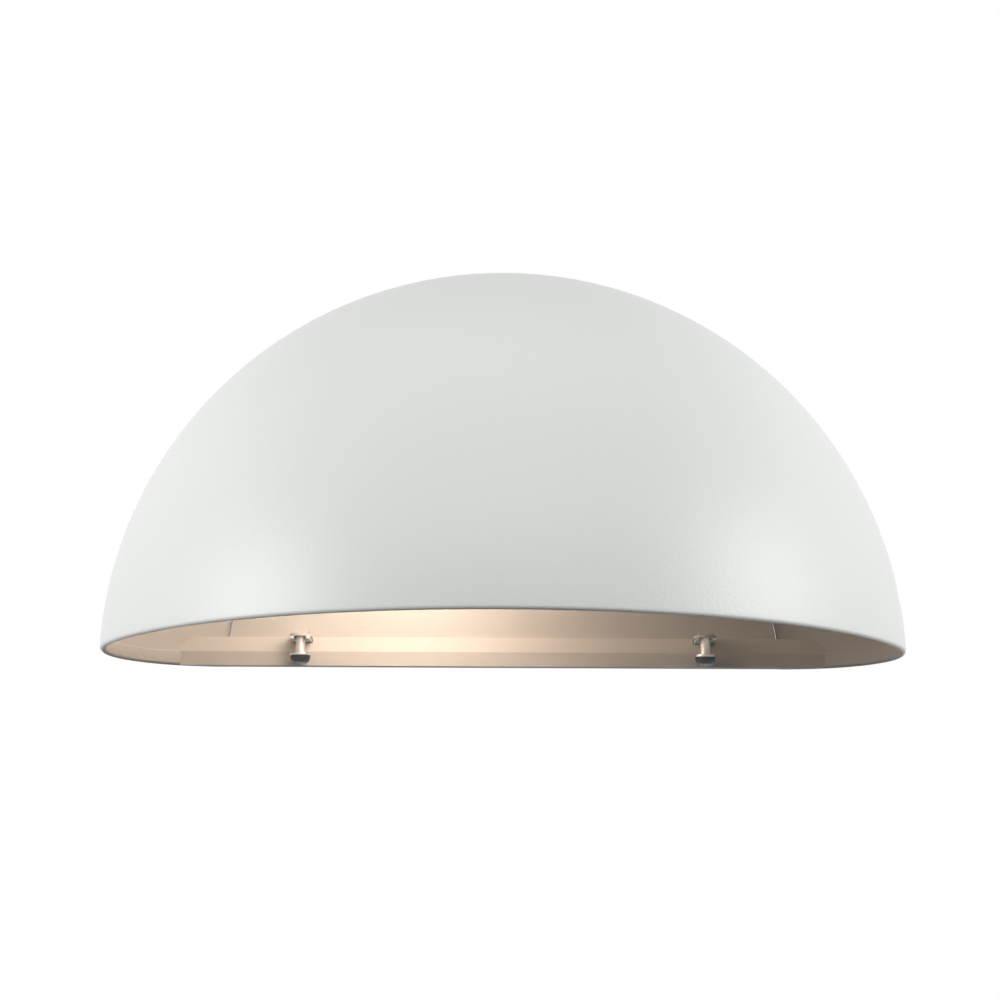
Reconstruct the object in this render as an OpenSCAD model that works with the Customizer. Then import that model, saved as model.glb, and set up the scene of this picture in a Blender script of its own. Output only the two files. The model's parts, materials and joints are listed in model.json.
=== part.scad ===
// Outdoor wall light: a half-round pressed shade that throws its light down.
// Heights in the modules are counted up from the shade's rim, depths forward from the wall.

/* [Shade] */
// Radius of the shade's round outline, seen from the front
dome_r = 150; // [142:1:160]
// Height of the level cut above the outline's centre
cut_rise = 5; // [0:0.5:10]
// Depth of the shade, wall to nose
shade_depth = 165; // [158:1:180]
// Radius of the rounded corner between the wall and the widest section
rear_round = 42; // [38:0.5:46]
// Radius of the arc between the widest section and the nose
side_r = 71; // [60:1:80]
// Thickness of the shade's sheet
shade_sheet = 1.5; // [1:0.1:2]
// Height of the hem folded inwards along the cut edge
hem_h = 5.5; // [4:0.5:7]
// Thickness that the folded hem adds inside
hem_fold = 1.2; // [0.8:0.1:1.6]

/* [Rear rail] */
// Thickness of the rail's sheet
rail_sheet = 1; // [0.8:0.1:1.2]
// Depth of the rail's upright band in front of the wall
rail_front = 6.6; // [6:0.1:7.2]
// Height of the rail's top edge above the rim
rail_top = 11.5; // [11:0.5:13]
// How far the rail's slope leans back towards the wall
rail_lean = 2.9; // [2:0.1:3]
// Width of each lug that carries a shade screw
lug_w = 8.4; // [8:0.2:10]
// Across-flats size of the square weld nut on a lug
nut_af = 5.8; // [5.6:0.2:6.4]
// Height of the weld nut
nut_h = 1.6; // [1.4:0.1:2.4]

/* [Shade screws] */
// Distance of each screw from the middle
screw_x = 78; // [70:1:86]
// Depth of the screws' axes in front of the wall
screw_depth = 12; // [11.6:0.1:13]
// Nominal thread diameter
screw_d = 4; // [3.8:0.1:4]
// Length of the shank under the head
screw_len = 10; // [9.6:0.2:12]
// Diameter of the domed head
head_d = 7.8; // [7:0.1:8]
// Diameter of the head's flat outer end
head_tip_d = 4.8; // [4:0.1:6]
// Height of the domed head
head_h = 2.8; // [2.4:0.1:3]
// Height of the head's outer end above the rim at rest
head_low = 0.4; // [0:0.1:1]
// Diameter of the washer
washer_d = 8.2; // [7.6:0.1:9]
// Thickness of the washer
washer_t = 0.8; // [0.5:0.1:1]

/* [Wall plate] */
// Gap between the plate's edge and the shade's rear opening
plate_gap = 0.4; // [0.3:0.1:1]
// Thickness of the plate
plate_t = 1; // [0.8:0.1:1.2]
// Thickness of the foam gasket behind the plate
gasket_t = 1.5; // [1:0.1:1.5]
// Width of the gasket's ring
gasket_w = 9; // [6:1:12]
// Height of the plate's turned rim
plate_rim_h = 6; // [4:0.5:8]
// Height above the shade's rim at which the plate's turned rim starts
rim_low = 27; // [24:1:34]
// Height of the wall screws above the shade's rim
mount_h = 46; // [44:1:48]
// Distance between the two wall screws
slot_pitch = 144; // [142:1:146]
// Length of each slot for a wall screw
slot_len = 12; // [10:1:14]
// Width of each slot
slot_w = 5; // [4.5:0.1:5.5]
// Distance of the tongue that the shade hangs on below the plate's top
tongue_drop = 10; // [8:0.5:11]
// Width of the tongue
tongue_w = 16; // [12:1:17]
// Length of the tongue in front of the plate
tongue_len = 9; // [8:0.5:10]
// Width of the tabs that the shade screws clamp
tab_w = 7.6; // [7:0.2:8]

/* [Cable entry] */
// Height of the cable entry above the rim
entry_h = 38; // [36:1:42]
// Bore of the grommet
entry_bore = 8; // [6:0.5:9]
// Hole in the plate for the grommet
entry_hole = 18; // [16:0.5:19]
// Diameter of the grommet's flange
entry_flange = 23; // [21.5:0.5:24]
// Height of the grommet in front of the plate
entry_nose = 5.5; // [4:0.5:7]

/* [Lamp and holder] */
// Depth of the lamp's axis in front of the wall
lamp_depth = 66; // [60:1:72]
// Height of the lamp's axis above the rim
lamp_h = 50; // [47:1:54]
// Place of the bracket's leg, right of the middle
leg_x = 58; // [54:1:60]
// Length of the ceramic holder
holder_len = 44; // [42:1:46]
// Diameter of the ceramic holder's base
holder_d = 45; // [42:1:48]
// Diameter of the ceramic holder's skirt
skirt_d = 39; // [37:1:41]
// Length of the ceramic holder's base
holder_base = 14; // [13:0.5:15]
// Overall length of the bulb
bulb_len = 105; // [100:1:108]
// Diameter of the bulb's globe
bulb_d = 60; // [56:1:62]
// Diameter of the bulb's neck
neck_d = 29; // [28:0.5:30]
// Diameter of the bulb's screw cap
cap_d = 26; // [25.8:0.1:26.2]
// How far the bulb's centre contact reaches into the holder
cap_reach = 26.5; // [26:0.5:27]

/* [Bracket and terminals] */
// Thickness of the bracket
bracket_t = 1.5; // [1.2:0.1:2]
// Width of the bracket at the plate
bracket_w = 36; // [32:1:40]
// Length of the bracket's foot on the plate
foot_len = 22; // [20:1:24]
// Width of the terminal block
block_w = 26; // [25:1:28]
// Height of the terminal block
block_h = 15; // [14:1:16]
// Depth of the terminal block
block_d = 14; // [13:1:16]
// Place of the terminal block's middle, left of the middle
block_x = -27; // [-28:1:-26]
// Distance of the terminal block's middle below the plate's top
block_drop = 20; // [19:0.5:21]
// Diameter of an insulated wire
wire_d = 2.2; // [1.8:0.1:2.4]

/* [Hidden] */
$fn = 96;

WHITE = [0.86, 0.88, 0.87];
STEEL = [0.72, 0.73, 0.74];
BRASS = [0.82, 0.68, 0.38];
CERAMIC = [0.93, 0.92, 0.88];
NYLON = [0.9, 0.89, 0.84];
BLACK = [0.07, 0.07, 0.08];
GLASS = [1, 0.97, 0.9];

// Clearances: between things that pass, between things that seat, and of a shaft in its hole
pass_gap = 0.3;
seat_gap = 0.2;
fit_gap = 0.05;
eps = 0.01;
reach = 400;

// Centre lines of the shade's three arcs, as distance from the dome's axis and depth
side_depth = rear_round;
nose_rise = shade_depth - side_depth;
nose_r = (dome_r * dome_r + nose_rise * nose_rise - 2 * dome_r * side_r) / (2 * (nose_rise - side_r));
nose_depth = shade_depth - nose_r;
nose_angle = atan2(side_depth - nose_depth, dome_r - side_r);
opening_r = dome_r - rear_round;

plate_r = opening_r - plate_gap;
tongue_h = plate_r - cut_rise - tongue_drop;
plate_front = gasket_t + plate_t;
plate_low = rail_sheet + 2 * pass_gap;
gasket_r = opening_r - pass_gap;
gasket_in = gasket_r - gasket_w;
seat_r = 0.72 * slot_len;
tab_top = rail_top - rail_sheet - seat_gap;
tab_len = screw_depth + lug_w / 2 - plate_front - seat_gap * 2;
tab_low = plate_low + 1.5;
screw_r = screw_d / 2 - fit_gap / 2;
slot_x = slot_pitch / 2;
hanger_depth = plate_front + tongue_len / 2 - 1;
hanger_sheet = 1.2;
hanger_w = tongue_w + 8;
hanger_foot_rise = 12;
hanger_foot_depth = 16;

holder_mouth = leg_x - holder_len;
shell_in = cap_d / 2 + pass_gap;
shell_t = 0.6;
shell_floor = holder_mouth + cap_reach + 1.6;
cap_len = 27;
tip_x = holder_mouth + cap_reach;
holder_hole_step = holder_d / 4;
rivet_step = bracket_w / 3.6;
term_w = 7;
term_len = 8;
term_step = 9.5;
term_x = leg_x - holder_base + 6.5;
term_depth = lamp_depth - holder_d / 2 + 9;

tag_t = 0.8;
block_z = plate_r - cut_rise - block_drop;
sleeve_depth = plate_front + 5.5;
pole_pitch = block_w / 3;
sleeve_r = 2.6;
sleeve_bore = 1.5;
screw_pitch_z = block_h / 2;
earth_x = block_x - block_w / 2 - 12;
earth_z = block_z - 18;

function arc(cx, cy, r, a0, a1, n) =
    [for (i = [0 : n]) let (a = a0 + (a1 - a0) * i / n) [cx + r * cos(a), cy + r * sin(a)]];

// Outline of the dome drawn in by a distance, from the wall to the nose
function dome_outline(inset, back) = concat(
    [[0, back], [opening_r, back]],
    arc(opening_r, rear_round, rear_round - inset, -90, 0, 14),
    arc(dome_r - side_r, side_depth, side_r - inset, nose_angle / 8, nose_angle, 7),
    arc(0, nose_depth, nose_r - inset, nose_angle + (90 - nose_angle) / 24, 90, 23)
);

// Solid dome turned about an axis square to the wall
module dome(inset, back) {
    translate([0, 0, -cut_rise])
        rotate([90, 0, 0])
            rotate_extrude($fn = 180)
                polygon(dome_outline(inset, back));
}

module above(z) {
    translate([-reach / 2, -reach, z])
        cube([reach, 2 * reach, reach]);
}

// Space inside the shade: plain sheet above, hem below
module inside_shade() {
    dome(shade_sheet + hem_fold, -1);
    intersection() {
        dome(shade_sheet, -1);
        above(hem_h);
    }
}

// A flat shape drawn in width and height, standing between two depths
module on_wall(d0, d1) {
    rotate([90, 0, 0])
        translate([0, 0, d0])
            linear_extrude(d1 - d0)
                children();
}

// A section drawn in depth and height, running along the width
module along_width(x0, x1) {
    translate([x0, 0, 0])
        rotate([90, 0, 90])
            linear_extrude(x1 - x0)
                mirror([1, 0])
                    children();
}

// A turned part whose axis runs left from a given place, on the lamp's axis
module on_lamp_axis(x) {
    translate([x, -lamp_depth, lamp_h])
        rotate([0, -90, 0])
            rotate_extrude()
                children();
}

module peg(x, z, r, d0, d1) {
    translate([x, -d0, z])
        rotate([90, 0, 0])
            cylinder(r = r, h = d1 - d0);
}

module upright(x, depth, r, z0, z1) {
    translate([x, -depth, z0])
        cylinder(r = r, h = z1 - z0);
}

module half_round(r, low) {
    intersection() {
        translate([0, -cut_rise])
            circle(r = r, $fn = 180);
        translate([-reach / 2, low])
            square([reach, reach]);
    }
}

module slot_shape(length, width) {
    union() {
        square([length - width, width], center = true);
        for (s = [-1, 1])
            translate([s * (length - width) / 2, 0])
                circle(d = width);
    }
}

module shade() {
    color(WHITE)
        difference() {
            intersection() {
                dome(0, 0);
                above(0);
            }
            inside_shade();
        }
}

// Section of the rail: bottom flange, upright band and slope
module rail_section() {
    top_front = rail_front - rail_lean;
    polygon([
        [gasket_t + seat_gap, 0],
        [rail_front, 0],
        [rail_front, hem_h],
        [top_front, rail_top],
        [top_front - rail_sheet, rail_top],
        [rail_front - rail_sheet, hem_h],
        [rail_front - rail_sheet, rail_sheet],
        [gasket_t + seat_gap, rail_sheet]
    ]);
}

module rear_rail() {
    lug_end = screw_depth + lug_w / 2;
    color(WHITE)
        difference() {
            union() {
                intersection() {
                    along_width(-dome_r, dome_r)
                        rail_section();
                    inside_shade();
                }
                for (s = [-1, 1])
                    translate([s * screw_x, 0, rail_top - rail_sheet])
                        linear_extrude(rail_sheet)
                            union() {
                                translate([-lug_w / 2, -screw_depth])
                                    square([lug_w, screw_depth - rail_front + rail_lean + rail_sheet / 2]);
                                translate([0, -screw_depth])
                                    circle(d = lug_w);
                            }
            }
            for (s = [-1, 1]) {
                upright(s * screw_x, screw_depth, screw_r + pass_gap,
                        rail_top - 2 * rail_sheet, rail_top + 1);
                translate([s * screw_x - tab_w / 2 - pass_gap, -lug_end, tab_top - plate_t - pass_gap])
                    cube([tab_w + 2 * pass_gap, lug_end, plate_t + pass_gap + seat_gap]);
            }
        }
}

module weld_nuts() {
    color(STEEL)
        for (s = [-1, 1])
            difference() {
                translate([s * screw_x - nut_af / 2, -screw_depth - nut_af / 2, rail_top])
                    cube([nut_af, nut_af, nut_h]);
                upright(s * screw_x, screw_depth, screw_r + fit_gap, rail_top - 1, rail_top + nut_h + 1);
            }
}

// Strap inside the top of the shade, with a slot that hangs on the plate's tongue
module top_hanger() {
    color(WHITE)
        difference() {
            union() {
                intersection() {
                    on_wall(hanger_depth, hanger_depth + hanger_sheet)
                        translate([-hanger_w / 2, tongue_h - 4])
                            square([hanger_w, reach]);
                    inside_shade();
                }
                intersection() {
                    difference() {
                        dome(shade_sheet, -1);
                        dome(shade_sheet + hanger_sheet, -2);
                    }
                    on_wall(hanger_depth, hanger_depth + hanger_foot_depth)
                        translate([-hanger_w / 2, tongue_h + hanger_foot_rise])
                            square([hanger_w, reach]);
                }
            }
            on_wall(hanger_depth - 1, hanger_depth + hanger_sheet + 1)
                translate([-tongue_w / 2 - pass_gap, tongue_h - pass_gap])
                    square([tongue_w + 2 * pass_gap, plate_t + pass_gap + seat_gap]);
        }
}

module washer(s) {
    z0 = head_low + head_h;
    color(STEEL)
        difference() {
            upright(s * screw_x, screw_depth, washer_d / 2, z0, z0 + washer_t);
            upright(s * screw_x, screw_depth, screw_r + fit_gap, z0 - 1, z0 + washer_t + 1);
        }
}

// Domed screw, head down, with a slot across the head
module shade_screw(s) {
    slot_cut = 1;
    dome_steps = 8;
    head = [for (i = [0 : dome_steps])
        [head_tip_d / 2 + (head_d - head_tip_d) / 2 * sin(90 * i / dome_steps),
         head_h * (1 - cos(90 * i / dome_steps))]];
    color(BLACK)
        translate([s * screw_x, -screw_depth, head_low])
            difference() {
                union() {
                    rotate_extrude()
                        polygon(concat([[0, 0]], head, [[0, head_h]]));
                    translate([0, 0, head_h - eps])
                        cylinder(r = screw_r, h = screw_len - 0.5 + eps);
                    translate([0, 0, head_h + screw_len - 0.5])
                        cylinder(r1 = screw_r, r2 = screw_r - 0.5, h = 0.5);
                }
                translate([-head_d, -slot_cut / 2, -1])
                    cube([2 * head_d, slot_cut, 1 + head_h / 2.5]);
            }
}

// Outline of the dish around a slot for a wall screw, kept inside the gasket's ring
module seat_shape(s, inset) {
    intersection() {
        translate([s * slot_x, mount_h])
            circle(r = seat_r - inset);
        half_round(gasket_in - seat_gap - inset, plate_low);
    }
}

// Pressed plate on the wall: panel, turned rim, dished screw slots and the tongue
module wall_plate() {
    color(WHITE)
        difference() {
            union() {
                on_wall(gasket_t, plate_front)
                    half_round(plate_r, plate_low);
                on_wall(gasket_t, gasket_t + plate_rim_h)
                    difference() {
                        half_round(plate_r, rim_low);
                        half_round(plate_r - plate_t, rim_low - 1);
                    }
                translate([-tongue_w / 2, -plate_front - tongue_len, tongue_h])
                    cube([tongue_w, tongue_len + plate_t / 2, plate_t]);
                for (s = [-1, 1])
                    on_wall(0, plate_front)
                        seat_shape(s, 0);
            }
            // window that the tongue is lanced from
            on_wall(0, plate_front + eps)
                translate([-tongue_w / 2, tongue_h - tongue_len])
                    square([tongue_w, tongue_len]);
            for (s = [-1, 1]) {
                on_wall(plate_t, plate_front + 1)
                    seat_shape(s, plate_t);
                on_wall(-1, plate_front + 1)
                    translate([s * slot_x, mount_h])
                        slot_shape(slot_len, slot_w);
            }
            // notch in the rim that the shade's hanger passes through
            on_wall(plate_front + eps, gasket_t + plate_rim_h + 1)
                translate([-hanger_w / 2 - 1, tongue_h + 4])
                    square([hanger_w + 2, reach]);
            peg(0, entry_h, entry_hole / 2, -1, plate_front + 1);
            peg(earth_x, earth_z, 2, -1, plate_front + 1);
            peg(block_x, block_z, 1.6, -1, plate_front + 1);
        }
}

// Angles welded to the plate behind the rail, each with a slot that is open to the front
module clamp_tabs() {
    color(WHITE)
        for (s = [-1, 1])
            difference() {
                translate([s * screw_x - tab_w / 2, -plate_front, 0])
                    union() {
                        translate([0, -tab_len, tab_top - plate_t])
                            cube([tab_w, tab_len, plate_t]);
                        translate([0, -plate_t, tab_low])
                            cube([tab_w, plate_t, tab_top - plate_t / 2 - tab_low]);
                    }
                translate([s * screw_x, -screw_depth, tab_top - 2 * plate_t])
                    linear_extrude(3 * plate_t)
                        union() {
                            circle(r = screw_r + pass_gap);
                            translate([-screw_r - pass_gap, -reach])
                                square([2 * (screw_r + pass_gap), reach]);
                        }
            }
}

module wall_gasket() {
    color(BLACK)
        on_wall(0, gasket_t)
            difference() {
                half_round(gasket_r, 0.3);
                half_round(gasket_in, 0.3 + gasket_w);
            }
}

module cable_grommet() {
    flange_t = gasket_t - 0.1;
    groove_r = entry_hole / 2 - 0.1;
    color(BLACK)
        translate([0, 0, entry_h])
            rotate([90, 0, 0])
                rotate_extrude()
                    polygon([
                        [entry_bore / 2, 0.1],
                        [entry_flange / 2, 0.1],
                        [entry_flange / 2, flange_t],
                        [groove_r, flange_t],
                        [groove_r, plate_front + 0.1],
                        [groove_r + 1.6, plate_front + 0.1],
                        [groove_r + 1.6, plate_front + 1.3],
                        [entry_bore / 2 + 1.5, plate_front + entry_nose],
                        [entry_bore / 2, plate_front + entry_nose]
                    ]);
}

// Angle bracket: foot on the plate, leg reaching forward to the holder's back
module holder_bracket() {
    leg_end_r = holder_d / 2 - 1;
    color(STEEL)
        difference() {
            union() {
                on_wall(plate_front, plate_front + bracket_t)
                    translate([leg_x - foot_len, lamp_h - bracket_w / 2])
                        square([foot_len + bracket_t, bracket_w]);
                translate([leg_x, 0, lamp_h])
                    rotate([90, 0, 90])
                        linear_extrude(bracket_t)
                            union() {
                                translate([-lamp_depth, 0])
                                    circle(r = leg_end_r);
                                polygon([
                                    [-plate_front, -bracket_w / 2],
                                    [-lamp_depth, -leg_end_r + 4],
                                    [-lamp_depth, leg_end_r - 4],
                                    [-plate_front, bracket_w / 2]
                                ]);
                            }
            }
            for (s = [-1, 1]) {
                translate([leg_x - 1, -lamp_depth, lamp_h + s * holder_hole_step])
                    rotate([0, 90, 0])
                        cylinder(r = 2.1, h = bracket_t + 2);
                peg(leg_x - foot_len / 2, lamp_h + s * rivet_step, 1.65,
                    plate_front - 1, plate_front + bracket_t + 1);
            }
            translate([leg_x - 1, -lamp_depth, lamp_h])
                rotate([0, 90, 0])
                    cylinder(r = 5, h = bracket_t + 2);
        }
}

module bracket_rivets() {
    top = plate_front + bracket_t;
    color(STEEL)
        for (s = [-1, 1])
            translate([leg_x - foot_len / 2, 0, lamp_h + s * rivet_step])
                rotate([90, 0, 0])
                    union() {
                        translate([0, 0, top])
                            intersection() {
                                translate([0, 0, -1.8])
                                    sphere(r = 3.4);
                                cylinder(r = 3.4, h = 3);
                            }
                        translate([0, 0, plate_front])
                            cylinder(r = 1.6, h = bracket_t + 0.5);
                    }
}

// Ceramic holder with its mouth to the left
module holder_body() {
    bore_r = shell_in + shell_t + 0.4;
    pocket = term_w + 1;
    color(CERAMIC)
        difference() {
            on_lamp_axis(leg_x)
                polygon(concat(
                    [[0, 0], [holder_d / 2 - 1, 0], [holder_d / 2, 1], [holder_d / 2, holder_base - 2]],
                    arc(holder_d / 2 - 2, holder_base - 2, 2, 20, 90, 4),
                    [[skirt_d / 2, holder_base + 1], [skirt_d / 2, holder_len - 2]],
                    arc(skirt_d / 2 - 2, holder_len - 2, 2, 15, 90, 5),
                    [[0, holder_len]]
                ));
            on_lamp_axis(shell_floor)
                square([bore_r, holder_len]);
            on_lamp_axis(holder_mouth + 3)
                polygon([[0, 0], [bore_r, 0], [bore_r + 1.6, 4], [0, 4]]);
            on_lamp_axis(shell_floor + 4)
                square([6, 5]);
            for (s = [-1, 1]) {
                translate([leg_x + 1, -lamp_depth, lamp_h + s * holder_hole_step])
                    rotate([0, -90, 0])
                        cylinder(r = 2, h = 11);
                translate([term_x, -term_depth - term_len / 2 - seat_gap, lamp_h + s * term_step])
                    translate([-pocket / 2, 0, -pocket / 2])
                        cube([pocket, holder_d, pocket]);
            }
        }
}

module holder_shell() {
    color(BRASS)
        on_lamp_axis(shell_floor)
            polygon([
                [7, 0],
                [shell_in + shell_t, 0],
                [shell_in + shell_t, cap_reach - 3],
                [shell_in, cap_reach - 3],
                [shell_in, shell_t],
                [7, shell_t]
            ]);
}

// Sprung centre contact: foot in its pocket, tongue bowed up to the bulb
module holder_contact() {
    strip = 0.5;
    floor_x = shell_floor + 4;
    tip = tip_x + pass_gap;
    color(BRASS)
        translate([0, -lamp_depth + 2.5, lamp_h])
            rotate([90, 0, 0])
                linear_extrude(5)
                    polygon([
                        [floor_x, -5],
                        [floor_x, 4],
                        [floor_x - strip, 4],
                        [floor_x - strip, -3.4],
                        [tip + strip, 0.5],
                        [tip + strip, 4.2],
                        [tip, 4.2],
                        [tip, 0],
                        [floor_x - strip, -5]
                    ]);
}

module holder_terminals() {
    color(BRASS)
        for (s = [-1, 1])
            difference() {
                translate([term_x, -term_depth, lamp_h + s * term_step])
                    cube([term_w, term_len, term_w], center = true);
                peg(term_x, lamp_h + s * term_step, wire_d / 2 + 0.2, 0, lamp_depth);
            }
}

module holder_screws() {
    color(STEEL)
        for (s = [-1, 1])
            translate([leg_x + bracket_t, -lamp_depth, lamp_h + s * holder_hole_step])
                rotate([0, 90, 0])
                    union() {
                        intersection() {
                            translate([0, 0, -1.6])
                                sphere(r = 4);
                            cylinder(r = 4, h = 3);
                        }
                        translate([0, 0, -bracket_t - 8])
                            cylinder(r = 1.95, h = bracket_t + 8.5);
                    }
}

// Three-pole block: base with a tower over each screw
module terminal_block() {
    back = plate_front;
    color(NYLON)
        difference() {
            union() {
                on_wall(back, back + 9)
                    translate([block_x, block_z])
                        square([block_w, block_h], center = true);
                for (i = [-1 : 1])
                    for (s = [-1, 1])
                        peg(block_x + i * pole_pitch, block_z + s * screw_pitch_z / 2, 3.1,
                            back, back + block_d);
            }
            for (i = [-1 : 1]) {
                upright(block_x + i * pole_pitch, sleeve_depth, sleeve_r + 0.1,
                        block_z - block_h / 2 - 1, block_z + block_h / 2 + 1);
                for (s = [-1, 1])
                    peg(block_x + i * pole_pitch, block_z + s * screw_pitch_z / 2, 1.9,
                        sleeve_depth, back + block_d + 1);
            }
            peg(block_x + pole_pitch / 2, block_z, 1.6, back - 1, back + 10);
        }
}

module terminal_sleeves() {
    color(BRASS)
        for (i = [-1 : 1])
            difference() {
                upright(block_x + i * pole_pitch, sleeve_depth, sleeve_r,
                        block_z - block_h / 2 + 0.5, block_z + block_h / 2 - 0.5);
                upright(block_x + i * pole_pitch, sleeve_depth, sleeve_bore,
                        block_z - block_h, block_z + block_h);
                for (s = [-1, 1])
                    peg(block_x + i * pole_pitch, block_z + s * screw_pitch_z / 2, 1.3,
                        sleeve_depth, sleeve_depth + sleeve_r + 1);
            }
}

module terminal_screws() {
    top = plate_front + block_d - 2;
    color(STEEL)
        for (i = [-1 : 1])
            for (s = [-1, 1]) {
                x = block_x + i * pole_pitch;
                z = block_z + s * screw_pitch_z / 2;
                difference() {
                    union() {
                        peg(x, z, 1.25, sleeve_depth + sleeve_bore, top - 2 + eps);
                        peg(x, z, 1.75, top - 2, top);
                    }
                    translate([x - 2, -top - 1, z - 0.3])
                        cube([4, 1.8, 0.6]);
                }
            }
}

module block_screw() {
    color(STEEL)
        union() {
            peg(block_x + pole_pitch / 2, block_z, 1.5, plate_front, plate_front + 9.2);
            peg(block_x + pole_pitch / 2, block_z, 2.2, plate_front + 9.05, plate_front + 10.6);
        }
}

// Smooth curve through hand-chosen points, then a round tube of eight sides along it
function smooth(p, steps) = concat(
    [for (i = [0 : len(p) - 2])
        for (k = [0 : steps - 1])
            let (t = k / steps,
                 a = p[max(i - 1, 0)], b = p[i], c = p[i + 1], d = p[min(i + 2, len(p) - 1)])
            0.5 * (2 * b + (c - a) * t + (2 * a - 5 * b + 4 * c - d) * t * t
                   + (3 * b - a - 3 * c + d) * t * t * t)],
    [p[len(p) - 1]]
);
function unit(v) = v / norm(v);

module tube(points, r) {
    sides = 8;
    side_ref = [0.36, 0.48, 0.8];
    last = len(points) - 1;
    rings = [for (i = [0 : last])
        let (t = unit(points[min(i + 1, last)] - points[max(i - 1, 0)]),
             u = unit(cross(t, side_ref)),
             v = cross(t, u))
        for (k = [0 : sides - 1])
            points[i] + r * (cos(360 * k / sides) * u + sin(360 * k / sides) * v)];
    walls = [for (i = [0 : last - 1])
        for (k = [0 : sides - 1])
            let (m = (k + 1) % sides)
            [i * sides + k, i * sides + m, (i + 1) * sides + m, (i + 1) * sides + k]];
    polyhedron(
        points = rings,
        faces = concat(walls, [[for (k = [0 : sides - 1]) sides - 1 - k]],
                       [[for (k = [0 : sides - 1]) last * sides + k]])
    );
}

// Route from a pole of the block, down and across the plate, to a terminal on the holder's back
module lamp_wire(pole, run_z, side) {
    bend = 12;
    lift = 1.5;
    x0 = block_x + pole * pole_pitch;
    z0 = block_z - block_h / 2 + 3;
    z1 = lamp_h + side * term_step;
    d1 = term_depth - term_len / 2 + 3;
    points = smooth([
        [x0, -sleeve_depth, z0],
        [x0, -sleeve_depth, z0 - bend / 2],
        [x0 + 1, -sleeve_depth, (z0 + run_z) / 2],
        [x0 + 9, -sleeve_depth + 1, run_z],
        [0, -sleeve_depth + 1, run_z],
        [term_x - 2 * bend, -sleeve_depth, run_z],
        [term_x - bend, -sleeve_depth - lift, run_z],
        [term_x - lift, -sleeve_depth - bend * 0.7, z1],
        [term_x, -d1 + bend, z1],
        [term_x, -d1, z1]
    ], 4);
    tube(points, wire_d / 2);
}

module live_wire() {
    color([0.45, 0.28, 0.16])
        lamp_wire(1, lamp_h + 6, 1);
}

module neutral_wire() {
    color([0.2, 0.35, 0.7])
        lamp_wire(0, lamp_h - 1, -1);
}

module earth_wire() {
    x0 = block_x - pole_pitch;
    z0 = block_z - block_h / 2 + 3;
    near_plate = plate_front + tag_t + wire_d / 2 + 0.1;
    color([0.45, 0.65, 0.15])
        tube(smooth([
            [x0, -sleeve_depth, z0],
            [x0, -sleeve_depth, z0 - 6],
            [x0 - 2, -sleeve_depth + 1, z0 - 10],
            [earth_x + 9, -near_plate - 0.2, earth_z + 2],
            [earth_x + 6.4, -near_plate, earth_z]
        ], 5), wire_d / 2);
}

module earth_tag() {
    color(BRASS)
        on_wall(plate_front, plate_front + tag_t)
            difference() {
                union() {
                    translate([earth_x, earth_z])
                        circle(r = 4);
                    translate([earth_x, earth_z - 1.5])
                        square([12, 3]);
                }
                translate([earth_x, earth_z])
                    circle(r = 2.1);
            }
}

module earth_screw() {
    top = plate_front + tag_t;
    color(BRASS)
        difference() {
            union() {
                peg(earth_x, earth_z, 1.95, 0.2, top + eps);
                peg(earth_x, earth_z, 3.5, top, top + 2.6);
            }
            translate([earth_x - 5, -top - 3.2, earth_z - 0.5])
                cube([10, 1.8, 1]);
        }
}

// Half outline of the bulb's glass, as radius and distance from the centre contact
function glass_outline(inset) =
    let (globe_r = bulb_d / 2,
         waist = 40,
         globe_c = bulb_len - globe_r,
         run = sqrt(pow(globe_r + waist, 2) - pow(neck_d / 2 + waist, 2)),
         waist_c = globe_c - run,
         turn = atan2(neck_d / 2 + waist, run))
    concat(
        [for (i = [0 : 12]) let (a = -90 + (90 - turn) * i / 12)
            [neck_d / 2 + waist + (waist + inset) * sin(a), waist_c + (waist + inset) * cos(a)]],
        [for (i = [1 : 24]) let (a = 180 - turn - (180 - turn) * i / 24)
            [(globe_r - inset) * sin(a), globe_c + (globe_r - inset) * cos(a)]]
    );

module bulb_glass() {
    wall = 0.8;
    stem_r = cap_d / 2 - 0.8;
    color(GLASS)
        on_lamp_axis(tip_x)
            difference() {
                polygon(concat(
                    [[0, cap_len - 6], [stem_r, cap_len - 6]],
                    [[stem_r, cap_len + 0.2], [neck_d / 2, cap_len + 1.5]],
                    glass_outline(0)
                ));
                polygon(concat(
                    [[0, cap_len + 2.5], [neck_d / 2 - wall, cap_len + 2.5]],
                    glass_outline(wall)
                ));
            }
}

module bulb_cap() {
    r = cap_d / 2;
    color(STEEL)
        on_lamp_axis(tip_x)
            polygon([
                [9.6, 5],
                [r - 1.5, 5],
                [r, 6.5],
                [r, cap_len],
                [r - 0.4, cap_len],
                [r - 0.4, 6.8],
                [r - 1.8, 5.5],
                [9.6, 5.5]
            ]);
}

module bulb_insulator() {
    color(BLACK)
        on_lamp_axis(tip_x)
            polygon([[0, 1.4], [4.9, 1.4], [9.4, 4.6], [9.4, 8], [0, 8]]);
}

module bulb_contact() {
    color(STEEL)
        on_lamp_axis(tip_x)
            polygon([[0, 0], [3.4, 0.1], [4.6, 0.9], [4.6, 1.4], [0, 1.4]]);
}

module from_mount() {
    translate([0, 0, -mount_h])
        children();
}

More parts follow.
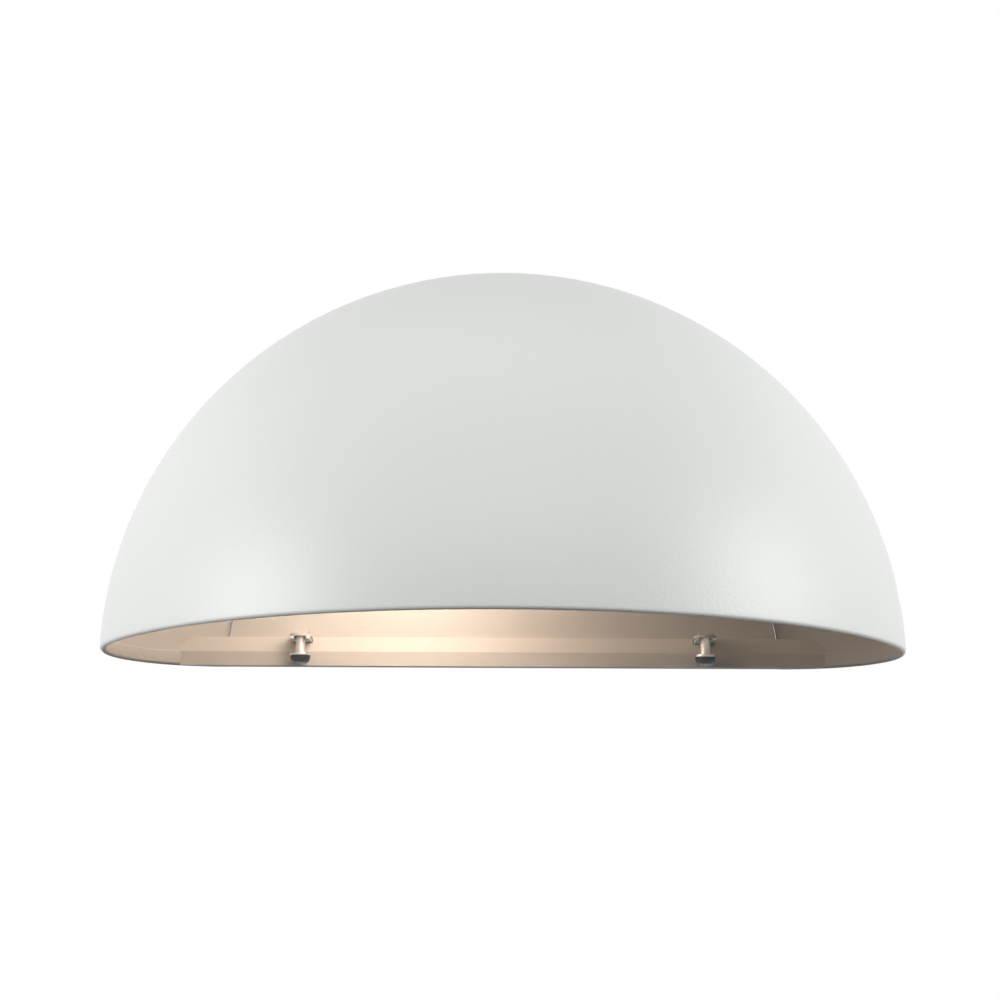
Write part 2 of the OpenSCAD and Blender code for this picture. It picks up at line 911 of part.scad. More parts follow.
from_mount() shade();
from_mount() rear_rail();
from_mount() weld_nuts();
from_mount() top_hanger();
from_mount() washer(-1);  // left_washer
from_mount() shade_screw(-1);  // left_screw
from_mount() washer(1);  // right_washer
from_mount() shade_screw(1);  // right_screw
from_mount() wall_plate();
from_mount() clamp_tabs();
from_mount() wall_gasket();
from_mount() cable_grommet();
from_mount() holder_bracket();
from_mount() bracket_rivets();
from_mount() holder_body();
from_mount() holder_shell();
from_mount() holder_contact();
from_mount() holder_terminals();
from_mount() holder_screws();
from_mount() terminal_block();
from_mount() terminal_sleeves();
from_mount() terminal_screws();
from_mount() block_screw();
from_mount() live_wire();
from_mount() neutral_wire();
from_mount() earth_wire();
from_mount() earth_tag();
from_mount() earth_screw();
from_mount() bulb_glass();
from_mount() bulb_cap();
from_mount() bulb_insulator();
from_mount() bulb_contact();
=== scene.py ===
"""Looks of an outdoor wall light: half-round shade, clamping screws, wall plate, holder and lit bulb.

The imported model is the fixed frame. The origin is the middle of the wall screws on the wall plane,
+X runs right along the wall, +Y into the wall and +Z up. All sizes are in metres.
"""

import json
import logging
import math
from dataclasses import dataclass
from enum import Enum
from typing import Protocol, Sequence

import bmesh
import bpy
from mathutils import Matrix, Vector


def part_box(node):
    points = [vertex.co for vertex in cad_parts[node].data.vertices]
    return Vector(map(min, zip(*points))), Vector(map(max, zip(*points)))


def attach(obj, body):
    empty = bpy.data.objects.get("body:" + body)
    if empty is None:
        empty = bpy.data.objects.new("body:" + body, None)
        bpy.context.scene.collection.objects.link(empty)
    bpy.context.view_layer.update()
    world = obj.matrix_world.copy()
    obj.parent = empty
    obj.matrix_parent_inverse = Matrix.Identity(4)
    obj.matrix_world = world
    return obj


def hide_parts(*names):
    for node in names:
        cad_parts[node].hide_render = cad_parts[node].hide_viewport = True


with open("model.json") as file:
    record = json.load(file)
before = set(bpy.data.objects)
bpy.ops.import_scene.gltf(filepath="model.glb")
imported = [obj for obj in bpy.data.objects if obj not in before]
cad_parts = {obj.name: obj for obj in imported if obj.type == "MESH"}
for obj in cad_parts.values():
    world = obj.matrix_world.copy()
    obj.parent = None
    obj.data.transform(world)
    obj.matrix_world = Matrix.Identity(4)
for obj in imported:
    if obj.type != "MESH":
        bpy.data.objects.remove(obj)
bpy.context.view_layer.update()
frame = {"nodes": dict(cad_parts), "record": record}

Point = tuple[float, float, float]
Colour = tuple[float, float, float]
Outline = list[tuple[float, float]]
Part = tuple[list[Point], list[tuple[int, ...]]]

SMOOTH_ANGLE = 35.0
ROUND_ANGLE = 50.0
TUBE_ANGLE = 60.0
SHARP_ANGLE = 32.0
FLAT_ANGLE = 0.4
JOIN_DISTANCE = 2e-6
SAME_POINT = 1e-7
MM2_PER_M2 = 1e6
LAMP_PITCH = 0.0036
THIN_PEEL = 0.00002
RIM_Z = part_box("shade")[0].z
RECORD = frame["record"]
SLOT_OF = {entry["node"]: entry["material_slot"] for entry in RECORD["subparts"]}
BODY_OF = {node: body for body, nodes in RECORD["behaviour"]["bodies"].items() for node in nodes}

log = logging.getLogger("wall_light")


class Side(Enum):
    """A side of the light, seen from in front."""

    LEFT = -1
    RIGHT = 1


# Shader helpers


@dataclass
class Net:
    """A node tree with short calls to add and join its nodes."""

    tree: bpy.types.NodeTree

    def add(self, kind: str, **settings: object) -> bpy.types.Node:
        """Add one node.

        Args:
            kind: Blender's name of the node type.
            settings: Values of the node's own properties.

        Returns:
            The new node.
        """
        node = self.tree.nodes.new(kind)
        for name, value in settings.items():
            setattr(node, name, value)
        return node

    def feed(self, node: bpy.types.Node, **inputs: object) -> bpy.types.Node:
        """Set or link a node's inputs, where an underscore in a name stands for a space.

        Args:
            node: The node that takes the inputs.
            inputs: A number, a colour or an output socket for each named input.

        Returns:
            The same node.
        """
        for name, value in inputs.items():
            self.put(value, node.inputs[name.replace("_", " ")])
        return node

    def put(self, value: object, socket: bpy.types.NodeSocket) -> None:
        """Set or link one input.

        Args:
            value: A number, a colour or an output socket.
            socket: The input.
        """
        if isinstance(value, bpy.types.NodeSocket):
            self.tree.links.new(value, socket)
        elif isinstance(value, tuple) and socket.type == "RGBA":
            socket.default_value = (*value, 1.0)
        else:
            socket.default_value = value

    def noise(self, vector: bpy.types.NodeSocket, scale: object, detail: float = 2.0) -> bpy.types.NodeSocket:
        """Add a noise texture of a scale in cycles per metre and return its noise."""
        node = self.add("ShaderNodeTexNoise")
        return self.feed(node, Vector=vector, Scale=scale, Detail=detail).outputs[0]

    def combine(self, operation: str, a: object, b: object) -> bpy.types.NodeSocket:
        """Combine two numbers.

        Args:
            operation: Blender's name of the operation.
            a: First number or socket.
            b: Second number or socket.

        Returns:
            The result.
        """
        node = self.add("ShaderNodeMath", operation=operation)
        self.put(a, node.inputs[0])
        self.put(b, node.inputs[1])
        return node.outputs[0]

    def ramp(self, value: bpy.types.NodeSocket, low: float, high: float) -> bpy.types.NodeSocket:
        """Stretch a value to the range from 0 to 1.

        Args:
            value: The value to stretch.
            low: Value that becomes 0.
            high: Value that becomes 1.

        Returns:
            The stretched value.
        """
        node = self.add("ShaderNodeMapRange")
        self.feed(node, Value=value, From_Min=low, From_Max=high)
        return node.outputs["Result"]

    def mix(self, factor: object, a: object, b: object) -> bpy.types.NodeSocket:
        """Mix two colours.

        Args:
            factor: Share of the second colour.
            a: First colour or socket.
            b: Second colour or socket.

        Returns:
            The mixed colour.
        """
        node = self.add("ShaderNodeMix", data_type="RGBA")
        for index, value in ((0, factor), (6, a), (7, b)):
            self.put(value, node.inputs[index])
        return node.outputs[2]


def shader_group(name: str, inputs: dict[str, float],
                 outputs: Sequence[str]) -> tuple[Net, bpy.types.Node, bpy.types.Node]:
    """Start a shader node group with number inputs and number outputs.

    Args:
        name: Name of the group.
        inputs: Default value of each named input.
        outputs: Names of the outputs.

    Returns:
        The group's net, its input node and its output node.
    """
    tree = bpy.data.node_groups.new(name, "ShaderNodeTree")
    for label, value in inputs.items():
        socket = tree.interface.new_socket(label, in_out="INPUT", socket_type="NodeSocketFloat")
        socket.default_value = value
    for label in outputs:
        tree.interface.new_socket(label, in_out="OUTPUT", socket_type="NodeSocketFloat")
    net = Net(tree)
    return net, net.add("NodeGroupInput"), net.add("NodeGroupOutput")


def fine_grain() -> bpy.types.NodeTree:
    """Build or fetch the group for fine surface grain, as on paint, rubber and moulded parts.

    Returns:
        The group, whose outputs are a bump height and a slow patchiness.
    """
    found = bpy.data.node_groups.get("fine_grain")
    if found:
        return found
    net, given, out = shader_group("fine_grain", {"Grain Scale": 900.0, "Patch Scale": 14.0}, ("Height", "Patch"))
    place = net.add("ShaderNodeTexCoord").outputs["Object"]
    grain = net.noise(place, given.outputs["Grain Scale"], 3.0)
    patch = net.noise(place, given.outputs["Patch Scale"])
    net.feed(out, Height=net.ramp(grain, 0.3, 0.7), Patch=net.ramp(patch, 0.35, 0.65))
    return net.tree


def edge_wear() -> bpy.types.NodeTree:
    """Build or fetch the group that finds worn edges and collected dust.

    Returns:
        The group, whose outputs are masks of the raised edges and of the sunk corners.
    """
    found = bpy.data.node_groups.get("edge_wear")
    if found:
        return found
    net, given, out = shader_group("edge_wear", {"Break Scale": 260.0}, ("Edge", "Corner"))
    place = net.add("ShaderNodeTexCoord").outputs["Object"]
    chips = net.noise(place, given.outputs["Break Scale"], 4.0)
    bend = net.add("ShaderNodeNewGeometry").outputs["Pointiness"]
    edge = net.combine("MULTIPLY", net.ramp(bend, 0.52, 0.62), net.ramp(chips, 0.4, 0.6))
    net.feed(out, Edge=edge, Corner=net.ramp(bend, 0.49, 0.42))
    return net.tree


def place_group(net: Net, group: bpy.types.NodeTree, **inputs: float) -> bpy.types.Node:
    """Place a shader group in a material.

    Args:
        net: The material's net.
        group: The group to place.
        inputs: Values of the group's inputs, with underscores for spaces.

    Returns:
        The group's node.
    """
    node = net.add("ShaderNodeGroup")
    node.node_tree = group
    return net.feed(node, **inputs)


def start_material(name: str, **inputs: object) -> tuple[bpy.types.Material, Net, bpy.types.Node]:
    """Start a material with a Principled shader.

    Args:
        name: Name of the material.
        inputs: Values set on the shader's own sockets.

    Returns:
        The material, its net and its shader.
    """
    material = bpy.data.materials.new(name)
    material.use_nodes = True
    net = Net(material.node_tree)
    shader = next(n for n in material.node_tree.nodes if n.type == "BSDF_PRINCIPLED")
    net.feed(shader, **inputs)
    return material, net, shader


def add_grain(net: Net, shader: bpy.types.Node, scale: float, depth: float,
              patch_scale: float = 14.0) -> bpy.types.NodeSocket:
    """Give a shader a fine grain.

    Args:
        net: The material's net.
        shader: The shader.
        scale: Cycles of the grain per metre.
        depth: Depth of the grain in metres.
        patch_scale: Cycles of the patchiness per metre.

    Returns:
        The patchiness, between 0 and 1.
    """
    grain = place_group(net, fine_grain(), Grain_Scale=scale, Patch_Scale=patch_scale)
    bump = net.feed(net.add("ShaderNodeBump"), Height=grain.outputs["Height"], Distance=depth)
    net.feed(shader, Normal=bump.outputs["Normal"])
    return grain.outputs["Patch"]


# Finishes


class Finish(Protocol):
    """Anything that builds a material."""

    def build(self) -> bpy.types.Material:
        """Return the material."""


@dataclass(frozen=True)
class PowderCoat:
    """White powder coat: satin, with the fine waviness of a baked coat."""

    name: str = "powder_coat"
    colour: Colour = (0.815, 0.832, 0.814)
    shaded: Colour = (0.78, 0.797, 0.78)
    roughness: float = 0.42
    specular: float = 0.45
    peel_scale: float = 820.0
    peel_depth: float = 0.000035
    patch_scale: float = 9.0
    patch_share: float = 0.35

    def build(self) -> bpy.types.Material:
        """Build the material.

        Returns:
            The material.
        """
        material, net, shader = start_material(self.name, Roughness=self.roughness,
                                               Specular_IOR_Level=self.specular)
        patch = add_grain(net, shader, self.peel_scale, self.peel_depth, self.patch_scale)
        share = net.combine("MULTIPLY", patch, self.patch_share)
        net.feed(shader, Base_Color=net.mix(share, self.colour, self.shaded))
        return material


@dataclass(frozen=True)
class Metal:
    """Bare or plated metal with a patchy bloom and brighter worn edges."""

    name: str
    colour: Colour
    bloom: Colour
    bright: Colour
    roughness: float = 0.32
    polish: float = 0.07
    dulling: float = 0.09
    grain_scale: float = 1800.0
    grain_depth: float = 0.00001
    patch_scale: float = 120.0
    chip_scale: float = 400.0

    def build(self) -> bpy.types.Material:
        """Build the material.

        Returns:
            The material.
        """
        material, net, shader = start_material(self.name, Metallic=1.0)
        patch = add_grain(net, shader, self.grain_scale, self.grain_depth, self.patch_scale)
        wear = place_group(net, edge_wear(), Break_Scale=self.chip_scale)
        base = net.mix(patch, self.colour, self.bloom)
        net.feed(shader, Base_Color=net.mix(wear.outputs["Edge"], base, self.bright))
        rough = net.add("ShaderNodeMapRange")
        net.feed(rough, Value=patch, To_Min=self.roughness - self.polish, To_Max=self.roughness + self.dulling)
        net.feed(shader, Roughness=rough.outputs["Result"])
        return material


@dataclass(frozen=True)
class BlackOxide:
    """Blackened steel of the clamping screws, greyer on its worn edges."""

    name: str = "black_oxide"
    colour: Colour = (0.018, 0.018, 0.02)
    worn: Colour = (0.12, 0.12, 0.125)
    roughness: float = 0.38
    specular: float = 0.6
    grain_scale: float = 2400.0
    grain_depth: float = 0.00001
    chip_scale: float = 900.0

    def build(self) -> bpy.types.Material:
        """Build the material.

        Returns:
            The material.
        """
        material, net, shader = start_material(self.name, Roughness=self.roughness,
                                               Specular_IOR_Level=self.specular)
        add_grain(net, shader, self.grain_scale, self.grain_depth)
        wear = place_group(net, edge_wear(), Break_Scale=self.chip_scale)
        net.feed(shader, Base_Color=net.mix(wear.outputs["Edge"], self.colour, self.worn))
        return material


@dataclass(frozen=True)
class Moulded:
    """Moulded plastic, rubber or foam, with a fine grain and dust in its corners."""

    name: str
    colour: Colour
    dust: Colour
    roughness: float = 0.5
    grain_scale: float = 1200.0
    grain_depth: float = 0.00002
    patch_scale: float = 60.0

    def build(self) -> bpy.types.Material:
        """Build the material.

        Returns:
            The material.
        """
        material, net, shader = start_material(self.name, Roughness=self.roughness)
        patch = add_grain(net, shader, self.grain_scale, self.grain_depth, self.patch_scale)
        dusty = net.combine("MULTIPLY", place_group(net, edge_wear()).outputs["Corner"], patch)
        net.feed(shader, Base_Color=net.mix(dusty, self.colour, self.dust))
        return material


@dataclass(frozen=True)
class GlazedCeramic:
    """White glazed ceramic of the lamp holder, a little warmer where the glaze is thick."""

    name: str = "glazed_ceramic"
    colour: Colour = (0.86, 0.85, 0.81)
    thick: Colour = (0.80, 0.77, 0.70)
    roughness: float = 0.22
    glaze: float = 0.6
    glaze_roughness: float = 0.08
    grain_scale: float = 420.0
    grain_depth: float = 0.00001
    patch_scale: float = 45.0

    def build(self) -> bpy.types.Material:
        """Build the material.

        Returns:
            The material.
        """
        material, net, shader = start_material(self.name, Roughness=self.roughness, Coat_Weight=self.glaze,
                                               Coat_Roughness=self.glaze_roughness)
        patch = add_grain(net, shader, self.grain_scale, self.grain_depth, self.patch_scale)
        net.feed(shader, Base_Color=net.mix(patch, self.colour, self.thick))
        return material


@dataclass(frozen=True)
class LitOpal:
    """Opal glass of the bulb, lit from within: bright over the globe, dim at the neck."""

    name: str = "lit_opal"
    colour: Colour = (0.95, 0.93, 0.88)
    roughness: float = 0.25
    glow: Colour = (1.0, 0.8, 0.66)
    neck: Colour = (0.14, 0.09, 0.06)
    strength: float = 8.2
    globe_x: float = -0.018
    neck_x: float = 0.0

    def build(self) -> bpy.types.Material:
        """Build the material.

        Returns:
            The material.
        """
        material, net, shader = start_material(self.name, Base_Color=self.colour, Roughness=self.roughness,
                                               Emission_Strength=self.strength)
        place = net.add("ShaderNodeTexCoord").outputs["Object"]
        split = net.feed(net.add("ShaderNodeSeparateXYZ"), Vector=place)
        along = net.ramp(split.outputs["X"], self.globe_x, self.neck_x)
        net.feed(shader, Emission_Color=net.mix(along, self.glow, self.neck))
        return material


class Finishes:
    """All finishes of the light, each built once when it is first asked for."""

    def __init__(self) -> None:
        """List the finishes by the record's slot."""
        self.made: dict[str, bpy.types.Material] = {}
        self.recipes: dict[str, Finish] = {
            "shade_paint": PowderCoat(),
            # darker copy of the white coat for the wall plate: painted shade inside the light
            "plate_paint": PowderCoat("plate_coat", (0.64, 0.63, 0.60), (0.60, 0.59, 0.56), 0.6, 0.3,
                                      peel_depth=THIN_PEEL),
            # darker copy of the white shade coat for the rail, hanger and weld nuts: painted shade
            "rail_painted_shade": PowderCoat("rail_coat", (0.66, 0.645, 0.61), (0.62, 0.605, 0.57), 0.55, 0.3,
                                     peel_depth=THIN_PEEL),
            # darker copy of the white shade coat for the inner faces: painted shade inside the shade
            "inside_painted_shade": PowderCoat("inside_coat", (0.62, 0.605, 0.58), (0.58, 0.565, 0.54), 0.6, 0.3,
                                       peel_depth=THIN_PEEL),
            "shank_zinc": Metal("shank_zinc", (0.80, 0.77, 0.71), (0.72, 0.69, 0.64), (0.9, 0.88, 0.84), 0.52),
            "copper": Metal("bare_copper", (0.80, 0.42, 0.26), (0.66, 0.32, 0.2), (0.9, 0.55, 0.4), 0.3),
            "screw_black": BlackOxide(),
            "washer_steel": Metal("washer_zinc", (0.80, 0.81, 0.82), (0.70, 0.71, 0.73), (0.9, 0.9, 0.9), 0.3),
            "zinc_steel": Metal("zinc_plate", (0.66, 0.67, 0.69), (0.56, 0.58, 0.61), (0.8, 0.8, 0.8), 0.34),
            "foam": Moulded("foam", (0.022, 0.022, 0.025), (0.07, 0.07, 0.065), 0.85, 700.0, 0.0001),
            "rubber": Moulded("rubber", (0.02, 0.02, 0.021), (0.09, 0.085, 0.08), 0.62),
            "glazed_ceramic": GlazedCeramic(),
            "nickel_brass": Metal("nickel_brass", (0.74, 0.68, 0.55), (0.66, 0.59, 0.45), (0.85, 0.8, 0.7), 0.26),
            "brass": Metal("brass", (0.72, 0.53, 0.22), (0.58, 0.40, 0.15), (0.86, 0.68, 0.36), 0.28),
            "nylon": Moulded("nylon", (0.78, 0.76, 0.68), (0.5, 0.47, 0.4), 0.42),
            "brown_pvc": Moulded("brown_pvc", (0.15, 0.06, 0.025), (0.25, 0.18, 0.13), 0.4),
            "blue_pvc": Moulded("blue_pvc", (0.02, 0.09, 0.36), (0.15, 0.2, 0.35), 0.4),
            "green_pvc": Moulded("green_pvc", (0.10, 0.30, 0.03), (0.3, 0.38, 0.2), 0.4),
            "opal_glass": LitOpal(),
            "cap_metal": Metal("cap_metal", (0.78, 0.78, 0.78), (0.68, 0.68, 0.69), (0.9, 0.9, 0.9), 0.25),
            "black_glass": Moulded("black_glass", (0.01, 0.01, 0.012), (0.05, 0.05, 0.05), 0.12),
        }

    def get(self, slot: str) -> bpy.types.Material:
        """Build or fetch a finish.

        Args:
            slot: The record's slot.

        Returns:
            The material.
        """
        if slot not in self.made:
            self.made[slot] = self.recipes[slot].build()
        return self.made[slot]


# Mesh helpers


def add_mesh(name: str, points: Sequence[Point], faces: Sequence[Sequence[int]]) -> bpy.types.Object:
    """Make a mesh object, with near points joined and normals outward.

    Args:
        name: Name of the piece.
        points: Corners.
        faces: Corner numbers of each face.

    Returns:
        The object, linked to the scene.
    """
    mesh = bpy.data.meshes.new(name)
    work = bmesh.new()
    corners = [work.verts.new(p) for p in points]
    for face in faces:
        if len(set(face)) > 2:
            work.faces.new([corners[i] for i in face])
    bmesh.ops.remove_doubles(work, verts=work.verts, dist=SAME_POINT)
    bmesh.ops.dissolve_degenerate(work, edges=work.edges, dist=SAME_POINT)
    bmesh.ops.recalc_face_normals(work, faces=work.faces)
    work.to_mesh(mesh)
    work.free()
    piece = bpy.data.objects.new(name, mesh)
    bpy.context.scene.collection.objects.link(piece)
    return piece


def shade_smooth(piece: bpy.types.Object, angle: float = SMOOTH_ANGLE) -> bpy.types.Object:
    """Shade a mesh smooth, apart from edges sharper than an angle.

    Args:
        piece: The object.
        angle: Angle in degrees.

    Returns:
        The same object.
    """
    piece.data.shade_smooth()
    piece.data.set_sharp_from_angle(angle=math.radians(angle))
    return piece


def grid_faces(rows: int, columns: int, first: int = 0, close: bool = False) -> list[tuple[int, ...]]:
    """List the quads of a grid of points stored row by row.

    Args:
        rows: Number of rows.
        columns: Number of columns.
        first: Number of the grid's first point.
        close: Whether the last column joins the first.

    Returns:
        The faces.
    """
    faces = []
    for i in range(rows - 1):
        for k in range(columns if close else columns - 1):
            a = first + i * columns + k
            b = first + i * columns + (k + 1) % columns
            faces.append((a, b, b + columns, a + columns))
    return faces


def turned(outline: Outline, base: Point, axis: Point, sides: int = 96) -> Part:
    """Turn a closed outline about an axis.

    Args:
        outline: Radius and distance along the axis of each point, in order round the closed section.
        base: Start of the axis.
        axis: Direction of the axis, of length 1.
        sides: Number of sides.

    Returns:
        The turned points and faces.
    """
    along, out, across = axis_frame(axis)
    points = []
    for r, d in [*outline, outline[0]]:
        centre = Vector(base) + along * d
        points += [ring_point(centre, out, across, r, k / sides) for k in range(sides)]
    return points, grid_faces(len(outline) + 1, sides, close=True)


def axis_frame(axis: Point) -> tuple[Vector, Vector, Vector]:
    """Find two directions square to an axis.

    Args:
        axis: The axis, of length 1.

    Returns:
        The axis and the two directions.
    """
    along = Vector(axis)
    out = along.orthogonal().normalized()
    return along, out, along.cross(out)


def ring_point(centre: Vector, out: Vector, across: Vector, r: float, turn: float) -> Point:
    """Place a point at a share of a turn round a circle."""
    a = math.tau * turn
    return tuple(centre + (out * math.cos(a) + across * math.sin(a)) * r)


def merged(*parts: Part) -> Part:
    """Put several parts together.

    Args:
        parts: The parts.

    Returns:
        All their points and faces.
    """
    points, faces = [], []
    for some_points, some_faces in parts:
        first = len(points)
        points += some_points
        faces += [tuple(first + i for i in face) for face in some_faces]
    return points, faces


def smooth_path(corners: Sequence[Point], steps: int) -> list[Vector]:
    """Lay a smooth curve through points, as the CAD wires do.

    Args:
        corners: Points that the curve passes through.
        steps: Stretches between two points.

    Returns:
        The curve's points.
    """
    p = [Vector(c) for c in corners]
    out = []
    for i in range(len(p) - 1):
        a, b, c, d = p[max(i - 1, 0)], p[i], p[i + 1], p[min(i + 2, len(p) - 1)]
        for k in range(steps):
            t = k / steps
            out.append(0.5 * (2 * b + (c - a) * t + (2 * a - 5 * b + 4 * c - d) * t * t
                              + (3 * b - a - 3 * c + d) * t ** 3))
    return [*out, p[-1]]


def swept(path: Sequence[Vector], r: float, sides: int = 20, rounding: float = 0.15) -> Part:
    """Sweep a circle along a path, with slightly rounded ends.

    Args:
        path: Points of the path.
        r: Radius.
        sides: Number of sides.
        rounding: Share of the radius that the ends are rounded by.

    Returns:
        The tube's points and faces.
    """
    first = (path[1] - path[0]).normalized()
    last = (path[-1] - path[-2]).normalized()
    inner = [path[0] + first * rounding * r, *path[1:-1], path[-1] - last * rounding * r]
    end_r = (1 - rounding) * r
    places = [(path[0], 0.0), (path[0], end_r), *((q, r) for q in inner), (path[-1], end_r), (path[-1], 0.0)]
    points = []
    out = first.orthogonal().normalized()
    for i, (place, radius) in enumerate(places):
        at = min(max(i - 2, 0), len(path) - 1)
        along = (path[min(at + 1, len(path) - 1)] - path[max(at - 1, 0)]).normalized()
        out = (out - along * out.dot(along)).normalized()
        across = along.cross(out)
        points += [ring_point(place, out, across, radius, k / sides) for k in range(sides)]
    return points, grid_faces(len(places), sides, close=True)


@dataclass(frozen=True)
class Thread:
    """Screw thread wound on an axis, as an open skin that fades out at both ends."""

    base: Point
    axis: Point
    root_r: float
    crest_r: float
    pitch: float
    length: float
    rounded: bool = False
    sides: int = 48
    turn_rows: int = 8
    steepness: float = 1.25

    def height(self, turn: float) -> float:
        """Find the thread's height.

        Args:
            turn: Share of a turn.

        Returns:
            The height between 0, the root, and 1, the crest.
        """
        if self.rounded:
            return 0.5 - 0.5 * math.cos(math.tau * turn)
        return min(1.0, self.steepness * (1 - abs(2 * turn - 1)))

    def part(self) -> Part:
        """Wind the thread.

        Returns:
            The thread's points and faces.
        """
        along, out, across = axis_frame(self.axis)
        rows = math.ceil((self.length / self.pitch + 1) * self.turn_rows) + 1
        points = []
        for i in range(rows):
            for k in range(self.sides):
                d = (i / self.turn_rows + k / self.sides - 1) * self.pitch
                d = min(max(d, 0.0), self.length)
                fade = min(1.0, 2 * min(d, self.length - d) / self.pitch)
                r = self.root_r + (self.crest_r - self.root_r) * fade * self.height(i / self.turn_rows % 1)
                points.append(ring_point(Vector(self.base) + along * d, out, across, r, k / self.sides))
        faces = grid_faces(rows, self.sides)
        for i in range(rows - 1 - self.turn_rows):
            a = i * self.sides + self.sides - 1
            b = (i + self.turn_rows) * self.sides
            faces.append((a, b, b + self.sides, a + self.sides))
        return points, faces


def lamp_thread(base: Point, axis: Point, root_r: float, crest_r: float, length: float) -> Part:
    """Wind the rounded thread of a lamp's cap or shell."""
    return Thread(base, axis, root_r, crest_r, LAMP_PITCH, length, rounded=True, sides=96, turn_rows=12).part()


def arc(centre: tuple[float, float], r: float, start: float, end: float, steps: int) -> Outline:
    """List points of an arc between two angles in degrees."""
    angles = [math.radians(start + (end - start) * i / steps) for i in range(steps + 1)]
    return [(centre[0] + r * math.cos(a), centre[1] + r * math.sin(a)) for a in angles]


def softened(node: str, width: float, angle: float = SMOOTH_ANGLE) -> bpy.types.Object:
    """Copy a CAD node's mesh and soften its edges.

    Args:
        node: Name of the node.
        width: Width of the softened edges.
        angle: Angle in degrees up to which two faces join smoothly.

    Returns:
        The soft piece.
    """
    work = bmesh.new()
    work.from_mesh(frame["nodes"][node].data)
    bmesh.ops.remove_doubles(work, verts=work.verts, dist=JOIN_DISTANCE)
    bmesh.ops.dissolve_limit(work, angle_limit=math.radians(FLAT_ANGLE), verts=work.verts, edges=work.edges)
    sharp = [e for e in work.edges if e.is_manifold and e.calc_face_angle(0.0) > math.radians(SHARP_ANGLE)]
    bmesh.ops.bevel(work, geom=sharp, offset=width, offset_type="OFFSET", segments=2, profile=0.5,
                    affect="EDGES", clamp_overlap=True)
    bmesh.ops.recalc_face_normals(work, faces=work.faces)
    mesh = bpy.data.meshes.new(node)
    work.to_mesh(mesh)
    work.free()
    if "custom_normal" in mesh.attributes:
        mesh.attributes.remove(mesh.attributes["custom_normal"])
    piece = bpy.data.objects.new(f"soft_{node}", mesh)
    bpy.context.scene.collection.objects.link(piece)
    shade_smooth(piece, angle)
    weigh_normals(mesh, angle)
    return piece


def weigh_normals(mesh: bpy.types.Mesh, angle: float = SMOOTH_ANGLE) -> None:
    """Turn each corner's normal to the mean of the faces it joins smoothly, so that flat faces look flat.

    Args:
        mesh: The mesh.
        angle: Angle in degrees up to which two faces join smoothly.
    """
    around: list[list[bpy.types.MeshPolygon]] = [[] for _ in mesh.vertices]
    for face in mesh.polygons:
        for corner in face.vertices:
            around[corner].append(face)
    limit = math.cos(math.radians(angle))
    normals = []
    for face in mesh.polygons:
        for corner in face.vertices:
            total = Vector()
            for other in around[corner]:
                if other.normal.dot(face.normal) > limit:
                    total += other.normal * other.area * MM2_PER_M2
            normals.append(total.normalized() if total.length else face.normal)
    mesh.normals_split_custom_set(normals)


def dress(piece: bpy.types.Object, finishes: Finishes, node: str) -> bpy.types.Object:
    """Give a made piece the finish and body of the CAD node that it stands for.

    Args:
        piece: The piece.
        finishes: All finishes.
        node: The CAD node.

    Returns:
        The same piece.
    """
    piece.data.materials.clear()
    piece.data.materials.append(finishes.get(SLOT_OF[node]))
    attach(piece, BODY_OF[node])
    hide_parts(node)
    log.info("made %s", piece.name)
    return piece


def dress_soft(nodes: Sequence[str], finishes: Finishes, width: float, angle: float = SMOOTH_ANGLE,
               paint: str | None = None) -> None:
    """Carry CAD nodes over with softened edges and dress them.

    Args:
        nodes: The CAD nodes.
        finishes: All finishes.
        width: Width of the softened edges.
        angle: Angle in degrees up to which two faces join smoothly.
        paint: Finish that the nodes wear instead of their slot's own.
    """
    for node in nodes:
        piece = dress(softened(node, width, angle), finishes, node)
        if paint:
            piece.data.materials[0] = finishes.get(paint)


def add_finish(piece: bpy.types.Object, material: bpy.types.Material, faces: Sequence[int]) -> None:
    """Give some faces of a piece a second finish.

    Args:
        piece: The piece.
        material: The finish.
        faces: Numbers of the faces.
    """
    piece.data.materials.append(material)
    last = len(piece.data.materials) - 1
    for index in faces:
        piece.data.polygons[index].material_index = last


def at_height(x: float, depth: float, height: float) -> Point:
    """Return a place from its depth in front of the wall and height above the rim."""
    return (x, -depth, RIM_Z + height)


# Sub-assemblies


